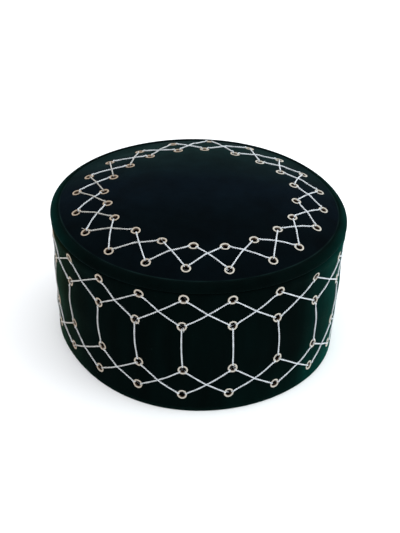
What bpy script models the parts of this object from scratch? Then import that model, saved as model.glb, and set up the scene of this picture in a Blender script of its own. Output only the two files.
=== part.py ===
"""Sufi cap: a domed crown disc with a rolled edge on an upright side band.

Both pieces are padded velvet, pierced by rings of small embroidered eyelets. The cap stands
on the hem of its band, with the opening for the head at the bottom. Units are metres and
+Z is up. The origin is on the ground under the middle of the cap, and the front is -Y.

An angle around the cap is measured from the front and grows towards +X. Every profile is
drawn on a round cap first. The outline is then made a little oval, with the hem's own oval
at the ground, blended into the crown's at the seam.
"""
import math

import bmesh
import bpy
from mathutils import Matrix, Vector

# Crown: a dome out to a crease, and a padded roll from there down to the seam
CREASE_RADIUS = 0.0880
CREASE_HEIGHT = 0.0880
DOME_RISE = 0.0132
DOME_POWER = 2.4
CROWN_WALL = 0.0025
RIM_RADIUS = 0.0936
ROLL_HALF_WIDTH = 0.0051
ROLL_HALF_HEIGHT = 0.0036
ROLL_DROP = 0.0033
ROLL_INNER_STEP = 0.0005

# The roll is an arc of an ellipse, from beside the crease to the seam, in degrees from +X
ROLL_START = 78.0
ROLL_END = -40.0

# Side band: a padded wall with a slight bulge, and a hem that is turned under
SEAM_GAP = 0.0003
BAND_TOP_RADIUS = 0.0923
HEM_RADIUS = 0.0916
BAND_BULGE = 0.0003
BAND_WALL = 0.0026
HEM_WALL = 0.0032
HEM_ROUNDING = 0.0009
HEM_HEIGHT = 0.0030

# How the outline swells: (swells round the cap, share by their cosine, share by their sine)
HEM_SWELLS = ((2, 0.041, 0.015), (3, 0.0, 0.008), (4, 0.007, -0.012))
CROWN_SWELLS = ((2, 0.007, 0.006), (3, -0.003, 0.0), (4, 0.0, -0.004))

# Eyelets: rings of one eyelet in each column of the pattern
COLUMNS = 20
EYELET_RADIUS = 0.0020
EYELET_SIDES = 8
PUNCH_LENGTH = 0.009

# Rings on the crown: (name, radius, start angle in degrees), drawn a little off its middle
RINGS_SHIFT = (0.0009, -0.0004, 0.0)
CROWN_RINGS = (
    ("outer", 0.0789, -4.6),
    ("inner", 0.0603, -3.2),
)

# Rows on the band: (name, height, start angle in degrees)
BAND_ROWS = (
    ("shoulder", 0.0774, -4.2),
    ("upper", 0.0598, -4.4),
    ("lower", 0.0295, -3.8),
    ("hem", 0.0119, -4.3),
)

# Eyelets that the hand set off the even pattern:
# (ring or row, column, along it towards higher columns, outward on the crown or up the band)
STRAYS = (
    ("outer", 0, -0.0010, -0.0005),
    ("outer", 1, -0.0005, 0.0010),
    ("outer", 2, 0.0025, 0.0005),
    ("outer", 3, 0.0, -0.0010),
    ("outer", 4, 0.0015, -0.0025),
    ("outer", 5, 0.0010, -0.0015),
    ("outer", 8, 0.0005, 0.0015),
    ("outer", 9, -0.0005, 0.0025),
    ("outer", 10, 0.0015, 0.0030),
    ("outer", 11, 0.0015, -0.0030),
    ("outer", 12, 0.0015, -0.0030),
    ("outer", 13, 0.0020, -0.0020),
    ("outer", 14, 0.0030, -0.0025),
    ("outer", 15, -0.0005, -0.0005),
    ("outer", 17, -0.0010, 0.0015),
    ("outer", 18, -0.0010, 0.0020),
    ("outer", 19, -0.0005, 0.0),
    ("inner", 1, -0.0005, 0.0015),
    ("inner", 2, -0.0005, 0.0005),
    ("inner", 4, -0.0010, 0.0005),
    ("inner", 5, 0.0005, 0.0),
    ("inner", 6, 0.0020, 0.0025),
    ("inner", 7, 0.0015, 0.0025),
    ("inner", 8, 0.0005, 0.0010),
    ("inner", 10, 0.0015, -0.0005),
    ("inner", 11, 0.0, -0.0005),
    ("inner", 12, 0.0005, 0.0005),
    ("inner", 13, 0.0005, -0.0015),
    ("inner", 14, 0.0010, -0.0010),
    ("inner", 15, 0.0015, 0.0005),
    ("inner", 16, -0.0015, -0.0010),
    ("inner", 17, -0.0020, 0.0005),
    ("inner", 18, -0.0010, -0.0010),
    ("inner", 19, -0.0005, -0.0005),
    ("shoulder", 0, -0.0005, 0.0015),
    ("shoulder", 1, -0.0010, 0.0005),
    ("shoulder", 3, 0.0010, -0.0020),
    ("shoulder", 4, 0.0040, -0.0040),
    ("shoulder", 17, 0.0020, 0.0005),
    ("shoulder", 18, 0.0025, 0.0010),
    ("shoulder", 19, 0.0015, 0.0005),
    ("upper", 0, -0.0010, 0.0),
    ("upper", 2, 0.0, -0.0010),
    ("upper", 3, 0.0025, -0.0015),
    ("upper", 4, 0.0040, -0.0025),
    ("upper", 18, 0.0010, 0.0005),
    ("upper", 19, -0.0010, -0.0010),
    ("lower", 0, -0.0010, 0.0),
    ("lower", 1, 0.0, 0.0005),
    ("lower", 2, 0.0010, 0.0),
    ("lower", 3, 0.0040, -0.0040),
    ("lower", 18, 0.0015, 0.0),
    ("hem", 0, -0.0005, 0.0),
    ("hem", 1, -0.0010, 0.0005),
    ("hem", 2, 0.0010, -0.0010),
    ("hem", 3, 0.0030, -0.0020),
    ("hem", 17, -0.0030, -0.0015),
    ("hem", 18, -0.0010, -0.0005),
    ("hem", 19, 0.0, 0.0010),
)

# Fineness of the faceted solids
SEGMENTS = 64
DOME_STEPS = 7
ROLL_STEPS = 5
WALL_STEPS = 5
MERGE_DISTANCE = 0.00001

# Small step, in metres or radians, that finds the line through a skin
SKIN_STEP = 0.0005

# Colours (linear) and finish of the velvet
CROWN_COLOUR = (0.006, 0.009, 0.014, 1.0)
BAND_COLOUR = (0.004, 0.014, 0.012, 1.0)
VELVET_ROUGHNESS = 0.9
SMOOTH_ANGLE = math.radians(40.0)

# Heights and radii that follow from the sizes above
ROLL_MIDDLE_RADIUS = RIM_RADIUS - ROLL_HALF_WIDTH
ROLL_MIDDLE_HEIGHT = CREASE_HEIGHT - ROLL_DROP
SEAM_HEIGHT = ROLL_MIDDLE_HEIGHT + ROLL_HALF_HEIGHT * math.sin(math.radians(ROLL_END))
BAND_TOP_HEIGHT = SEAM_HEIGHT - SEAM_GAP


def swells(height):
    """Count, cosine and sine share of each swell at a height: the hem's blended to the crown's."""
    share = min(1.0, height / BAND_TOP_HEIGHT)
    return [(hem[0], hem[1] + (crown[1] - hem[1]) * share, hem[2] + (crown[2] - hem[2]) * share)
            for hem, crown in zip(HEM_SWELLS, CROWN_SWELLS)]


def outline(angle, height):
    """Share of the round radius: 1 + the sum of a cos(n angle) + b sin(n angle)."""
    return 1.0 + sum(cosine * math.cos(count * angle) + sine * math.sin(count * angle)
                     for count, cosine, sine in swells(height))


def place(radius, height, angle):
    """Point of the oval cap for a radius, height and angle on the round one."""
    reach = radius * outline(angle, height)
    return Vector((reach * math.sin(angle), -reach * math.cos(angle), height))


def dome_height(radius):
    """Height of the crown's outer skin between its middle and the crease."""
    return CREASE_HEIGHT + DOME_RISE * (1.0 - (radius / CREASE_RADIUS) ** DOME_POWER)


def band_radius(height):
    """Radius of the band's outer skin: a straight line from hem to seam, plus a bulge."""
    share = height / BAND_TOP_HEIGHT
    straight = HEM_RADIUS + (BAND_TOP_RADIUS - HEM_RADIUS) * share
    return straight + BAND_BULGE * 4.0 * share * (1.0 - share)


def crown_profile():
    """Radius and height of the crown's stations: dome, roll, seam face and underside."""
    dome = [CREASE_RADIUS * step / DOME_STEPS for step in range(DOME_STEPS + 1)]
    stations = [(radius, dome_height(radius)) for radius in dome]
    for step in range(ROLL_STEPS + 1):
        angle = math.radians(ROLL_START + (ROLL_END - ROLL_START) * step / ROLL_STEPS)
        stations.append((ROLL_MIDDLE_RADIUS + ROLL_HALF_WIDTH * math.cos(angle),
                         ROLL_MIDDLE_HEIGHT + ROLL_HALF_HEIGHT * math.sin(angle)))
    inner_radius = BAND_TOP_RADIUS - BAND_WALL
    stations.append((inner_radius, SEAM_HEIGHT))
    stations.append((inner_radius - ROLL_INNER_STEP, ROLL_MIDDLE_HEIGHT))
    for radius in reversed(dome[:-1]):
        stations.append((radius, dome_height(radius) - CROWN_WALL))
    return stations


def band_profile():
    """Radius and height of the band's stations: outer skin, hem, inner skin and top edge."""
    heights = [BAND_TOP_HEIGHT + (HEM_HEIGHT - BAND_TOP_HEIGHT) * step / WALL_STEPS
               for step in range(WALL_STEPS + 1)]
    outer = [(band_radius(height), height) for height in heights]
    inner = [(band_radius(height) - BAND_WALL, height) for height in reversed(heights)]
    inner[0] = (band_radius(HEM_HEIGHT) - HEM_WALL, HEM_HEIGHT)
    hem_inside = HEM_RADIUS - HEM_WALL
    hem = [
        (HEM_RADIUS, HEM_ROUNDING),
        (HEM_RADIUS - HEM_ROUNDING, 0.0),
        (hem_inside + HEM_ROUNDING, 0.0),
        (hem_inside, HEM_ROUNDING),
    ]
    return outer + hem + inner


def turn_profile(name, profile, closed):
    """Spin a profile round the Z axis, then give the round shape the cap's oval outline."""
    shape = bmesh.new()
    points = [shape.verts.new((0.0, -radius, height)) for radius, height in profile]
    edges = [shape.edges.new(pair) for pair in zip(points, points[1:])]
    if closed:
        edges.append(shape.edges.new((points[-1], points[0])))
    bmesh.ops.spin(shape, geom=points + edges, cent=(0.0, 0.0, 0.0), axis=(0.0, 0.0, 1.0),
                   angle=2.0 * math.pi, steps=SEGMENTS, use_duplicate=False)
    bmesh.ops.remove_doubles(shape, verts=shape.verts, dist=MERGE_DISTANCE)
    for point in shape.verts:
        radius = math.hypot(point.co.x, point.co.y)
        angle = math.atan2(point.co.x, -point.co.y)
        point.co = place(radius, point.co.z, angle)
    bmesh.ops.recalc_face_normals(shape, faces=shape.faces)
    mesh = bpy.data.meshes.new(name)
    shape.to_mesh(mesh)
    shape.free()
    piece = bpy.data.objects.new(name, mesh)
    bpy.context.scene.collection.objects.link(piece)
    return piece


def crown_skin(radius, angle):
    """Point of the crown's outer skin under a point of the rings, which sit off its middle."""
    drawn = place(radius, CREASE_HEIGHT, angle) + Vector(RINGS_SHIFT)
    own_angle = math.atan2(drawn.x, -drawn.y)
    own_radius = math.hypot(drawn.x, drawn.y) / outline(own_angle, CREASE_HEIGHT)
    return place(own_radius, dome_height(own_radius), own_angle)


def band_skin(height, angle):
    """Point of the band's outer skin."""
    return place(band_radius(height), height, angle)


def column_angles(start_degrees):
    """Equal angles, one for each column of the pattern."""
    start = math.radians(start_degrees)
    return [start + 2.0 * math.pi * column / COLUMNS for column in range(COLUMNS)]


def even_along_cloth(angle, height):
    """Angle that makes equal turns equal cloth: a - the sum of (a sin(n a) - b cos(n a)) / n."""
    return angle - sum((cosine * math.sin(count * angle) - sine * math.cos(count * angle)) / count
                       for count, cosine, sine in swells(height))


def seat_eyelet(skin, distance, angle):
    """Centre of an eyelet on a skin, and the line through the cloth there."""
    centre = skin(distance, angle)
    along = skin(distance, angle + SKIN_STEP) - centre
    across = skin(distance + SKIN_STEP, angle) - centre
    return centre, along.cross(across).normalized()


def stray(ring, column):
    """How far the hand set an eyelet off its even place: along its ring, and outward or up."""
    for name, where, along, beyond in STRAYS:
        if (name, where) == (ring, column):
            return along, beyond
    return 0.0, 0.0


def crown_eyelets():
    """Eyelets of the two rings on the crown."""
    eyelets = []
    for ring, radius, start in CROWN_RINGS:
        for column, angle in enumerate(column_angles(start)):
            along, beyond = stray(ring, column)
            eyelets.append(seat_eyelet(crown_skin, radius + beyond, angle + along / radius))
    return eyelets


def band_eyelets():
    """Eyelets of the four rows on the band."""
    eyelets = []
    for row, height, start in BAND_ROWS:
        for column, angle in enumerate(column_angles(start)):
            along, beyond = stray(row, column)
            turned = even_along_cloth(angle, height) + along / BAND_TOP_RADIUS
            eyelets.append(seat_eyelet(band_skin, height + beyond, turned))
    return eyelets


def make_punches(name, eyelets):
    """One many-sided punch through the cloth at every eyelet, as a cutter."""
    shape = bmesh.new()
    for centre, line in eyelets:
        turn = line.to_track_quat("Z", "Y").to_matrix().to_4x4()
        bmesh.ops.create_cone(shape, cap_ends=True, segments=EYELET_SIDES,
                              radius1=EYELET_RADIUS, radius2=EYELET_RADIUS,
                              depth=PUNCH_LENGTH, matrix=Matrix.Translation(centre) @ turn)
    mesh = bpy.data.meshes.new(name)
    shape.to_mesh(mesh)
    shape.free()
    punches = bpy.data.objects.new(name, mesh)
    bpy.context.scene.collection.objects.link(punches)
    punches.hide_render = True
    punches.display_type = "WIRE"
    return punches


def pierce(piece, punches):
    """Cut every punch out of the piece."""
    cut = piece.modifiers.new("eyelets", "BOOLEAN")
    cut.operation = "DIFFERENCE"
    cut.solver = "EXACT"
    cut.object = punches


def velvet(name, colour):
    """Matt velvet of one colour."""
    material = bpy.data.materials.new(name)
    material.use_nodes = True
    shader = material.node_tree.nodes["Principled BSDF"]
    shader.inputs["Base Color"].default_value = colour
    shader.inputs["Roughness"].default_value = VELVET_ROUGHNESS
    shader.inputs["Metallic"].default_value = 0.0
    return material


def finish_piece(piece, material):
    """Shade the piece smooth, apart from its sharp turns, and dress it in its material."""
    piece.data.materials.append(material)
    piece.data.shade_smooth()
    piece.data.set_sharp_from_angle(angle=SMOOTH_ANGLE)


def make_crown_top():
    """Crown disc and its rolled edge, as one padded piece with an open underside."""
    crown = turn_profile("crown_top", crown_profile(), closed=False)
    punches = make_punches("crown_punches", crown_eyelets())
    finish_piece(crown, velvet("crown_velvet", CROWN_COLOUR))
    pierce(crown, punches)


def make_side_band():
    """Side band from the hem up to the seam under the rolled edge."""
    band = turn_profile("side_band", band_profile(), closed=True)
    punches = make_punches("band_punches", band_eyelets())
    finish_piece(band, velvet("band_velvet", BAND_COLOUR))
    pierce(band, punches)


def main():
    """Clear the scene and build the cap."""
    for old in list(bpy.data.objects):
        bpy.data.objects.remove(old, do_unlink=True)
    make_crown_top()
    make_side_band()


main()
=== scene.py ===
# %% [markdown]
# # A sufi cap in velvet and twisted cord
#
# The cap is a pillbox of dark green velvet: a domed crown disc with a rolled edge, sewn to an
# upright band. Small embroidered eyelets pierce both, and a twisted silver cord joins them in
# crossing lines.
#
# The frame's solids have the right size. Materials alone could dress them, but the velvet's
# puffs and the cord's relief would be missing. So every piece is made again here, as fine
# surfaces worked out with numpy on the same formulas.

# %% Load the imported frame
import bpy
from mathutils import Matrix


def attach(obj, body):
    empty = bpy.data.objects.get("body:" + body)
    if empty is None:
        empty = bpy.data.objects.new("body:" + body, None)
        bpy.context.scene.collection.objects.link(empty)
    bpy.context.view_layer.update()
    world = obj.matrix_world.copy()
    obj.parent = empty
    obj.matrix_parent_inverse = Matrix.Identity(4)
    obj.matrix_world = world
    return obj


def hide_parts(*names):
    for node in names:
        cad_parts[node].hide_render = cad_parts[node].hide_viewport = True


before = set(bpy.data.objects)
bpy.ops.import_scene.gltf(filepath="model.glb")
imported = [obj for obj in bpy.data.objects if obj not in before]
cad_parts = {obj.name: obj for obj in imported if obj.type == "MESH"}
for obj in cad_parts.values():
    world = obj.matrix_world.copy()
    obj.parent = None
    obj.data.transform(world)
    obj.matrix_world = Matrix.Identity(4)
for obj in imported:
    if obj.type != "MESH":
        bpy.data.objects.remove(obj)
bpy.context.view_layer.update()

# %% Modules
import math

import bpy
import numpy as np
from mathutils import Matrix, Vector

MM = 0.001

# %% [markdown]
# ## The camera
#
# The cap is seen from well above its front, through a long lens. An exact aim at its middle
# would be simpler, but the picture is turned by a degree and a half and the cap sits a little
# low in it, so three small turns come after.

# %% Camera
CAMERA_DISTANCE = 0.9408
CAMERA_ELEVATION = 0.5531
AIM_HEIGHT = 0.050
CAMERA_LENS = 99.18
SENSOR_LONG_SIDE = 36.0
CAMERA_YAW = 0.0021
CAMERA_PITCH = -0.0062
CAMERA_ROLL = 0.0285


def turned(first, second, angle):
    """The two unit vectors after a turn of the first towards the second, in their plane."""
    cosine, sine = math.cos(angle), math.sin(angle)
    return first * cosine + second * sine, second * cosine - first * sine


def make_camera():
    """A camera on a circle over the front, turned by the three small angles."""
    away = Vector((0.0, -math.cos(CAMERA_ELEVATION), math.sin(CAMERA_ELEVATION)))
    forward = -away
    right = Vector((1.0, 0.0, 0.0))
    up = right.cross(forward)
    forward, right = turned(forward, right, CAMERA_YAW)
    forward, up = turned(forward, up, CAMERA_PITCH)
    right, up = turned(right, up, CAMERA_ROLL)
    lens = bpy.data.cameras.new("camera")
    lens.lens = CAMERA_LENS
    lens.sensor_width = SENSOR_LONG_SIDE
    lens.clip_start = 0.01
    camera = bpy.data.objects.new("camera", lens)
    turn = Matrix((right, up, -forward)).transposed().to_4x4()
    spot = away * CAMERA_DISTANCE + Vector((0.0, 0.0, AIM_HEIGHT))
    camera.matrix_world = Matrix.Translation(spot) @ turn
    bpy.context.scene.collection.objects.link(camera)
    bpy.context.scene.camera = camera
    return camera


camera = make_camera()
print("camera at", [round(value, 3) for value in camera.matrix_world.translation])

# %% [markdown]
# ## The form
#
# The cap is drawn round first and then made a little oval, because a soft cap never stands
# quite round. These are the sizes of the solids in the frame, so the new surfaces lie on them.
# An angle is measured from the front and grows towards +X.

# %% Sizes of the form, in metres
CREASE_RADIUS = 0.0880
CREASE_HEIGHT = 0.0880
DOME_RISE = 0.0132
DOME_POWER = 2.4
CROWN_WALL = 0.0025
RIM_RADIUS = 0.0936
ROLL_HALF_WIDTH = 0.0051
ROLL_HALF_HEIGHT = 0.0036
ROLL_MIDDLE_RADIUS = RIM_RADIUS - ROLL_HALF_WIDTH
ROLL_MIDDLE_HEIGHT = CREASE_HEIGHT - 0.0033
ROLL_INNER_STEP = 0.0005
ROLL_ARC = (78.0, -40.0)
SEAM_HEIGHT = ROLL_MIDDLE_HEIGHT + ROLL_HALF_HEIGHT * math.sin(math.radians(ROLL_ARC[1]))
BAND_TOP_HEIGHT = SEAM_HEIGHT - 0.0003
BAND_TOP_RADIUS = 0.0923
HEM_RADIUS = 0.0916
BAND_BULGE = 0.0003
BAND_WALL = 0.0026
HEM_WALL = 0.0032
HEM_ROUNDING = 0.0009
HEM_HEIGHT = 0.0030

# How the outline swells: (swells round the cap, share by their cosine, share by their sine)
HEM_SWELLS = ((2, 0.041, 0.015), (3, 0.0, 0.008), (4, 0.007, -0.012))
CROWN_SWELLS = ((2, 0.007, 0.006), (3, -0.003, 0.0), (4, 0.0, -0.004))


def turns(count):
    """Angles of even steps once round: 2 pi k / count."""
    return 2.0 * math.pi * np.arange(count) / count


def ramp(values, start, length):
    """From 0 at the start to 1 a length past it: (v - start) / length, clipped."""
    return np.clip((values - start) / length, 0.0, 1.0)


def swells(height):
    """Count, cosine and sine share of each swell at a height: the hem's blended to the crown's."""
    share = np.minimum(1.0, height / BAND_TOP_HEIGHT)
    return [(hem[0], hem[1] + (crown[1] - hem[1]) * share, hem[2] + (crown[2] - hem[2]) * share)
            for hem, crown in zip(HEM_SWELLS, CROWN_SWELLS)]


def outline(angle, height):
    """Share of the round radius: 1 + the sum of a cos(n angle) + b sin(n angle)."""
    return 1.0 + sum(cosine * np.cos(count * angle) + sine * np.sin(count * angle)
                     for count, cosine, sine in swells(height))


def even_along_cloth(angle, height):
    """Angle that makes equal turns equal cloth: a - the sum of (a sin(n a) - b cos(n a)) / n."""
    return angle - sum((cosine * np.sin(count * angle) - sine * np.cos(count * angle)) / count
                       for count, cosine, sine in swells(height))


def place(radius, height, angle):
    """Points of the oval cap for radii, heights and angles on the round one."""
    reach = radius * outline(angle, height)
    return np.stack([reach * np.sin(angle), -reach * np.cos(angle), height + 0.0 * reach], -1)


def dome_height(radius):
    """Height of the crown's skin: the crease plus the rise times 1 - (r / crease) ^ power."""
    return CREASE_HEIGHT + DOME_RISE * (1.0 - (radius / CREASE_RADIUS) ** DOME_POWER)


def band_radius(height):
    """Radius of the band's skin: a straight line from hem to seam, plus a parabolic bulge."""
    share = height / BAND_TOP_HEIGHT
    straight = HEM_RADIUS + (BAND_TOP_RADIUS - HEM_RADIUS) * share
    return straight + BAND_BULGE * 4.0 * share * (1.0 - share)


print("crown's middle at", round(1000.0 * float(dome_height(0.0)), 1), "mm")

# %% [markdown]
# ## The chart of the embroidery
#
# Twenty columns go round the cap, each with an eyelet in the crown's two rings and the band's
# four rows. A few sizes give their places, and a short list moves those that the hand set off
# the even pattern, as even ones would look machine made.
#
# All is drawn flat first: the crown as its plan, and the band as the cloth rolled out, along
# it and up from the hem.

# %% Rings and rows of eyelets
COLUMNS = 20
RINGS_SHIFT = np.array((0.0009, -0.0004))

# Ring on the crown: (radius, start angle in degrees)
CROWN_RINGS = {"outer": (0.0789, -4.6), "inner": (0.0603, -3.2)}

# Row on the band: (height, start angle in degrees)
BAND_ROWS = {
    "shoulder": (0.0774, -4.2), "upper": (0.0598, -4.4), "lower": (0.0295, -3.8), "hem": (0.0119, -4.3),
}

# Eyelets off the even pattern, in half millimetres: {column: (along it, outward or up)}
STRAYS = {
    "outer": {0: (-2, -1), 1: (-1, 2), 2: (5, 1), 3: (0, -2), 4: (3, -5), 5: (2, -3), 8: (1, 3),
        9: (-1, 5), 10: (3, 6), 11: (3, -6), 12: (3, -6), 13: (4, -4), 14: (6, -5), 15: (-1, -1),
        17: (-2, 3), 18: (-2, 4), 19: (-1, 0)},
    "inner": {1: (-1, 3), 2: (-1, 1), 4: (-2, 1), 5: (1, 0), 6: (4, 5), 7: (3, 5), 8: (1, 2),
        10: (3, -1), 11: (0, -1), 12: (1, 1), 13: (1, -3), 14: (2, -2), 15: (3, 1), 16: (-3, -2),
        17: (-4, 1), 18: (-2, -2), 19: (-1, -1)},
    "shoulder": {0: (-1, 3), 1: (-2, 1), 3: (2, -4), 4: (8, -8), 17: (4, 1), 18: (5, 2), 19: (3, 1)},
    "upper": {0: (-2, 0), 2: (0, -2), 3: (5, -3), 4: (8, -5), 18: (2, 1), 19: (-2, -2)},
    "lower": {0: (-2, 0), 1: (0, 1), 2: (2, 0), 3: (8, -8), 18: (3, 0)},
    "hem": {0: (-1, 0), 1: (-2, 1), 2: (2, -2), 3: (6, -4), 17: (-6, -3), 18: (-2, -1), 19: (0, 2)},
}


def seats(ring):
    """Places of a ring's twenty eyelets on the drawing of its piece."""
    radius_or_height, start = (CROWN_RINGS | BAND_ROWS)[ring]
    angle = math.radians(start) + turns(COLUMNS)
    moves = np.zeros((COLUMNS, 2))
    for column, (along, beyond) in STRAYS[ring].items():
        moves[column] = (0.5 * MM * along, 0.5 * MM * beyond)
    if ring in CROWN_RINGS:
        radius = radius_or_height + moves[:, 1]
        angle = angle + moves[:, 0] / radius_or_height
        return place(radius, CREASE_HEIGHT, angle)[:, :2] + RINGS_SHIFT
    along = even_along_cloth(angle, radius_or_height) * BAND_TOP_RADIUS + moves[:, 0]
    return np.stack([along, radius_or_height + moves[:, 1]], -1)


SEATS = {ring: seats(ring) for ring in CROWN_RINGS | BAND_ROWS}
print("eyelets:", sum(len(places) for places in SEATS.values()))

# %% [markdown]
# ## The lines between the eyelets
#
# Each line joins an eyelet to one in the next column, so two families cross in an X. On the
# band, posts also drop straight from the upper row to the lower one. A line is straight on the
# drawing apart from a small bow, which grows to one side of the cap as the cloth was pulled.

# %% Families of lines
LINE_SAMPLES = 121
BAND_LENGTH = 2.0 * math.pi * BAND_TOP_RADIUS

# Family: (from ring, to ring, columns onward, on top where two cross, share of painted shade
#          at the left, which differs as the cord's glint turns with its direction,
#          bow in mm: everywhere, more at the front, more at the right)
LINE_FAMILIES = {
    "crown_in": ("outer", "inner", 1, True, 0.80, (0.1, -0.8, 0.5)),
    "crown_out": ("inner", "outer", 1, False, 0.05, (0.1, -0.2, -1.0)),
    "shoulder_down": ("shoulder", "upper", 1, True, 0.40, (-0.5, 0.0, 0.5)),
    "shoulder_up": ("upper", "shoulder", 1, False, 0.85, (-0.4, 0.0, -0.6)),
    "post": ("upper", "lower", 0, True, 0.55, (-0.3, 0.0, 1.7)),
    "hem_down": ("lower", "hem", 1, True, 0.40, (-0.7, 0.0, 0.6)),
    "hem_up": ("hem", "lower", 1, False, 0.85, (-0.8, 0.0, -0.6)),
}


def line_drawing(family, samples, gap=0.0):
    """A family's twenty lines: from end to end, plus a bow times 4 t (1 - t) to one side.

    The gap keeps both ends that far from the eyelets' middles. The bow is
    even + front cos(a) + right sin(a), with a the angle of the line's middle on the cap. It
    goes outward on the crown, up on the band, and for a post towards higher angles.
    """
    start_ring, end_ring, onward, _, _, (even, front, right) = LINE_FAMILIES[family]
    start = SEATS[start_ring]
    end = np.roll(SEATS[end_ring], -onward, axis=0)
    if start_ring in BAND_ROWS:
        end[COLUMNS - onward:, 0] += BAND_LENGTH
    way = end - start
    length = np.linalg.norm(way, axis=1)
    share = np.linspace(gap / length, 1.0 - gap / length, samples, axis=1)
    middle = 0.5 * (start + end)
    side = np.stack([-way[:, 1], way[:, 0]], -1) / length[:, None]
    if family.startswith("crown"):
        angle = np.arctan2(middle[:, 0], -middle[:, 1])
        side = -side
    else:
        angle = middle[:, 0] / BAND_TOP_RADIUS
    bow = MM * (even + front * np.cos(angle) + right * np.sin(angle))
    bent = (4.0 * share * (1.0 - share) * bow[:, None])[..., None] * side[:, None]
    return start[:, None] + share[..., None] * way[:, None] + bent


def path_lengths(points):
    """Length along each row of points, from its start: the running sum of its steps."""
    steps = np.linalg.norm(np.diff(points, axis=1), axis=-1)
    return np.concatenate([np.zeros((len(points), 1)), np.cumsum(steps, axis=1)], axis=1)


for family in LINE_FAMILIES:
    measured = path_lengths(line_drawing(family, LINE_SAMPLES))[:, -1]
    print(family, "mean length in mm:", round(1000.0 * float(measured.mean()), 1))

# %% [markdown]
# ## The lie of the cloth
#
# Padded velvet puffs up between the stitches and is drawn in under them. A cloth simulation
# could find this, but the cap is sewn tight and hardly drapes. So the relief is a sum of
# formulas on the drawing: broad waves, puffs, a pit at each eyelet and a groove under each
# cord. Eyelets and cords ask for the same relief, so they sit on it exactly.

# %% Relief of the cloth
PIT_DEPTH = 0.0004
PIT_REACH = 0.0042
GROOVE_DEPTH = 0.0003
GROOVE_REACH = 0.0014
GROOVE_SAMPLES = 28

# Broad waves: (height in mm, waves per metre along x, waves per metre along y, phase)
CROWN_WAVES = (
    (0.22, 9.0, 3.0, 0.6), (0.16, -5.0, 13.0, 2.2), (0.12, 17.0, -11.0, 4.1), (0.08, 24.0, 21.0, 1.3),
)

# Ripples down the band: (height in mm, ripples round the cap, lean, phase)
BAND_RIPPLES = (
    (0.20, 5.0, 9.0, 0.4), (0.16, 11.0, -14.0, 2.9), (0.12, 19.0, 6.0, 5.0), (0.08, 33.0, -9.0, 1.2),
)

# Puffs between rings or rows: (height in mm, middle radius or height, half width in metres)
CROWN_PUFF = (0.75, 0.0700, 0.0060)
BAND_PUFF = (0.70, 0.0450, 0.0090)
SEAM_PUFF = (0.95, 0.0797, 0.0040)
SEAM_TURN = 0.0012
EDGE_FADE = 0.006

# The crown's puff: share everywhere, and share more at the front and less at the back
PUFF_EVEN, PUFF_FRONT = 0.55, 0.45

# Swell and dent near the crown's back edge: (height in mm, place on the plan, half width)
CROWN_DENTS = ((0.9, (0.002, 0.078), 0.026), (-1.0, (-0.052, 0.060), 0.028))


def nearness(distance, reach):
    """Bell of the distance: exp(-(d / reach) ^ 2)."""
    return np.exp(-((distance / reach) ** 2))


def nearest(drawing, marks, wraps):
    """Shortest distance on the drawing from each point to a few marks."""
    across = drawing[..., None, :] - marks
    if wraps:
        across[..., 0] = (across[..., 0] + 0.5 * BAND_LENGTH) % BAND_LENGTH - 0.5 * BAND_LENGTH
    return np.sqrt((across ** 2).sum(-1).min(-1))


def stitched_in(drawing, rings):
    """How far the stitches draw the cloth in: the deeper of the nearest pit and groove."""
    wraps = rings is BAND_ROWS
    pits = nearest(drawing, np.concatenate([SEATS[ring] for ring in rings]), wraps)
    grooves = np.full(drawing.shape[:-1], 1.0)
    for family, facts in LINE_FAMILIES.items():
        for line in line_drawing(family, GROOVE_SAMPLES) if facts[0] in rings else ():
            grooves = np.minimum(grooves, nearest(drawing, line, wraps))
    return np.maximum(PIT_DEPTH * nearness(pits, PIT_REACH),
                      GROOVE_DEPTH * nearness(grooves, GROOVE_REACH))


def crown_relief(plan):
    """Lift of the crown's cloth: a puff, waves sin(2 pi (k.x + m.y) + p), less the stitches."""
    x, y = plan[..., 0], plan[..., 1]
    radius = np.hypot(x, y)
    lift = CROWN_PUFF[0] * nearness(radius - CROWN_PUFF[1], CROWN_PUFF[2])
    lift = lift * (PUFF_EVEN - PUFF_FRONT * y / np.maximum(radius, MM))
    for height, along_x, along_y, phase in CROWN_WAVES:
        lift = lift + height * np.sin(2.0 * math.pi * (along_x * x + along_y * y) + phase)
    for height, spot, reach in CROWN_DENTS:
        lift = lift + height * nearness(np.hypot(x - spot[0], y - spot[1]), reach)
    edge = ramp(CREASE_RADIUS - radius, 0.0, EDGE_FADE)
    return edge * (MM * lift - stitched_in(plan, CROWN_RINGS))


def band_relief(drawing):
    """Lift of the band's cloth: ripples sin(n a + l h + p), a puff, less the stitches.

    A second puff under the seam turns in towards it, so the band meets the roll softly.
    """
    angle, height = drawing[..., 0] / BAND_TOP_RADIUS, drawing[..., 1]
    lift = BAND_PUFF[0] * nearness(height - BAND_PUFF[1], BAND_PUFF[2])
    for rise, around, lean, phase in BAND_RIPPLES:
        lift = lift + rise * np.sin(around * angle + lean * height + phase)
    edge = ramp(np.minimum(height, BAND_TOP_HEIGHT - height), 0.0, EDGE_FADE)
    lift = edge * (MM * lift - stitched_in(drawing, BAND_ROWS))
    turned_in = np.sqrt(ramp(BAND_TOP_HEIGHT - height, 0.0, SEAM_TURN))
    return lift + MM * SEAM_PUFF[0] * nearness(height - SEAM_PUFF[1], SEAM_PUFF[2]) * turned_in


def onto_crown(plan, lift):
    """Points over a plan, at a lift above the crown's cloth."""
    angle = np.arctan2(plan[..., 0], -plan[..., 1])
    radius = np.hypot(plan[..., 0], plan[..., 1]) / outline(angle, CREASE_HEIGHT)
    slope = -DOME_RISE * DOME_POWER * (radius / CREASE_RADIUS) ** (DOME_POWER - 1.0) / CREASE_RADIUS
    steep = np.hypot(1.0, slope)
    raised = lift + crown_relief(plan)
    return place(radius - raised * slope / steep, dome_height(radius) + raised / steep, angle)


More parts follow.
